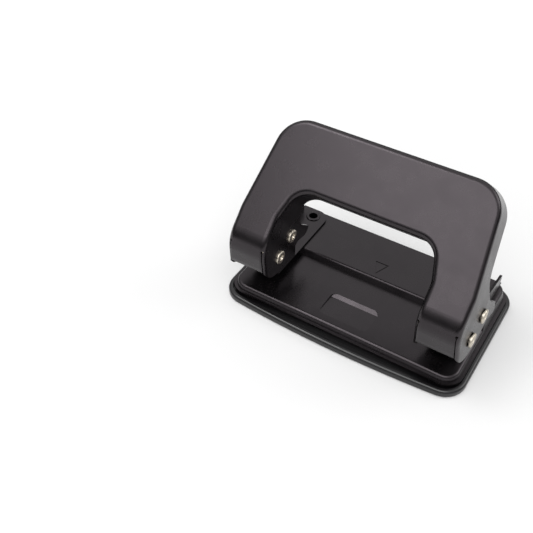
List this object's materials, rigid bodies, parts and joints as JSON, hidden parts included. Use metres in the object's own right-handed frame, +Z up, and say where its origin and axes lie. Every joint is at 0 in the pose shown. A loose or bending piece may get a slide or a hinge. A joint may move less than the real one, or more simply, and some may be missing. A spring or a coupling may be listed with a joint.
{
  "type": "two-hole paper punch",
  "caption": "Desk paper punch: black enamelled steel base, brackets and looped handle, hidden sprung punches, clip-on plastic chip tray.",
  "frame": {"origin": "on the table under the chip tray, midway between its ends and midway along its straight sides", "axes": "+X to the right along the row of holes, +Y to the back, where the grip is, +Z up"},
  "size_m": [0.106, 0.0666, 0.0724],
  "materials": {
    "enamel": "semi-matt stoved black enamel",
    "tray_plastic": "soft moulded polyethylene, satin",
    "nickel": "nickel-plated rivet steel",
    "tool_steel": "ground and hardened",
    "spring_steel": "bright drawn wire and stamped ring"
  },
  "bodies": {
    "tray": {"chip_tray": "tray_plastic"},
    "base": {"base_plate": "enamel", "left_bracket": "enamel", "right_bracket": "enamel", "left_guide_bush": "tool_steel", "right_guide_bush": "tool_steel", "left_rear_eyelet": "enamel", "right_rear_eyelet": "enamel", "left_front_rivet": "enamel", "right_front_rivet": "enamel", "left_return_spring": "spring_steel", "right_return_spring": "spring_steel"},
    "handle": {"handle": "enamel", "left_pivot_pin": "nickel", "right_pivot_pin": "nickel", "left_drive_pin": "nickel", "right_drive_pin": "nickel"},
    "left_punch_unit": {"left_punch": "tool_steel", "left_spring_clip": "spring_steel"},
    "right_punch_unit": {"right_punch": "tool_steel", "right_spring_clip": "spring_steel"}
  },
  "joints": [
    {"name": "tray_release", "type": "slide", "parent": "tray", "child": "base", "axis": [0, 0, 1], "range_m": [0, 0.015]},
    {"name": "handle_press", "type": "hinge", "parent": "base", "child": "handle", "pos_m": [0, -0.0205, 0.0232], "axis": [-1, 0, 0], "range_deg": [0, 28.06], "stiffness_Nm_per_rad": 0.27, "springref_deg": -17.19},
    {"name": "left_punch_slide", "type": "slide", "parent": "base", "child": "left_punch_unit", "axis": [0, 0, -1], "range_m": [0, 0.0048], "deforming": ["left_return_spring"]},
    {"name": "right_punch_slide", "type": "slide", "parent": "base", "child": "right_punch_unit", "axis": [0, 0, -1], "range_m": [0, 0.0048], "deforming": ["right_return_spring"]}
  ],
  "couplings": [
    {"joint": "left_punch_slide", "follows": "handle_press", "m_per_rad": 0.009595},
    {"joint": "right_punch_slide", "follows": "handle_press", "m_per_rad": 0.009595}
  ]
}
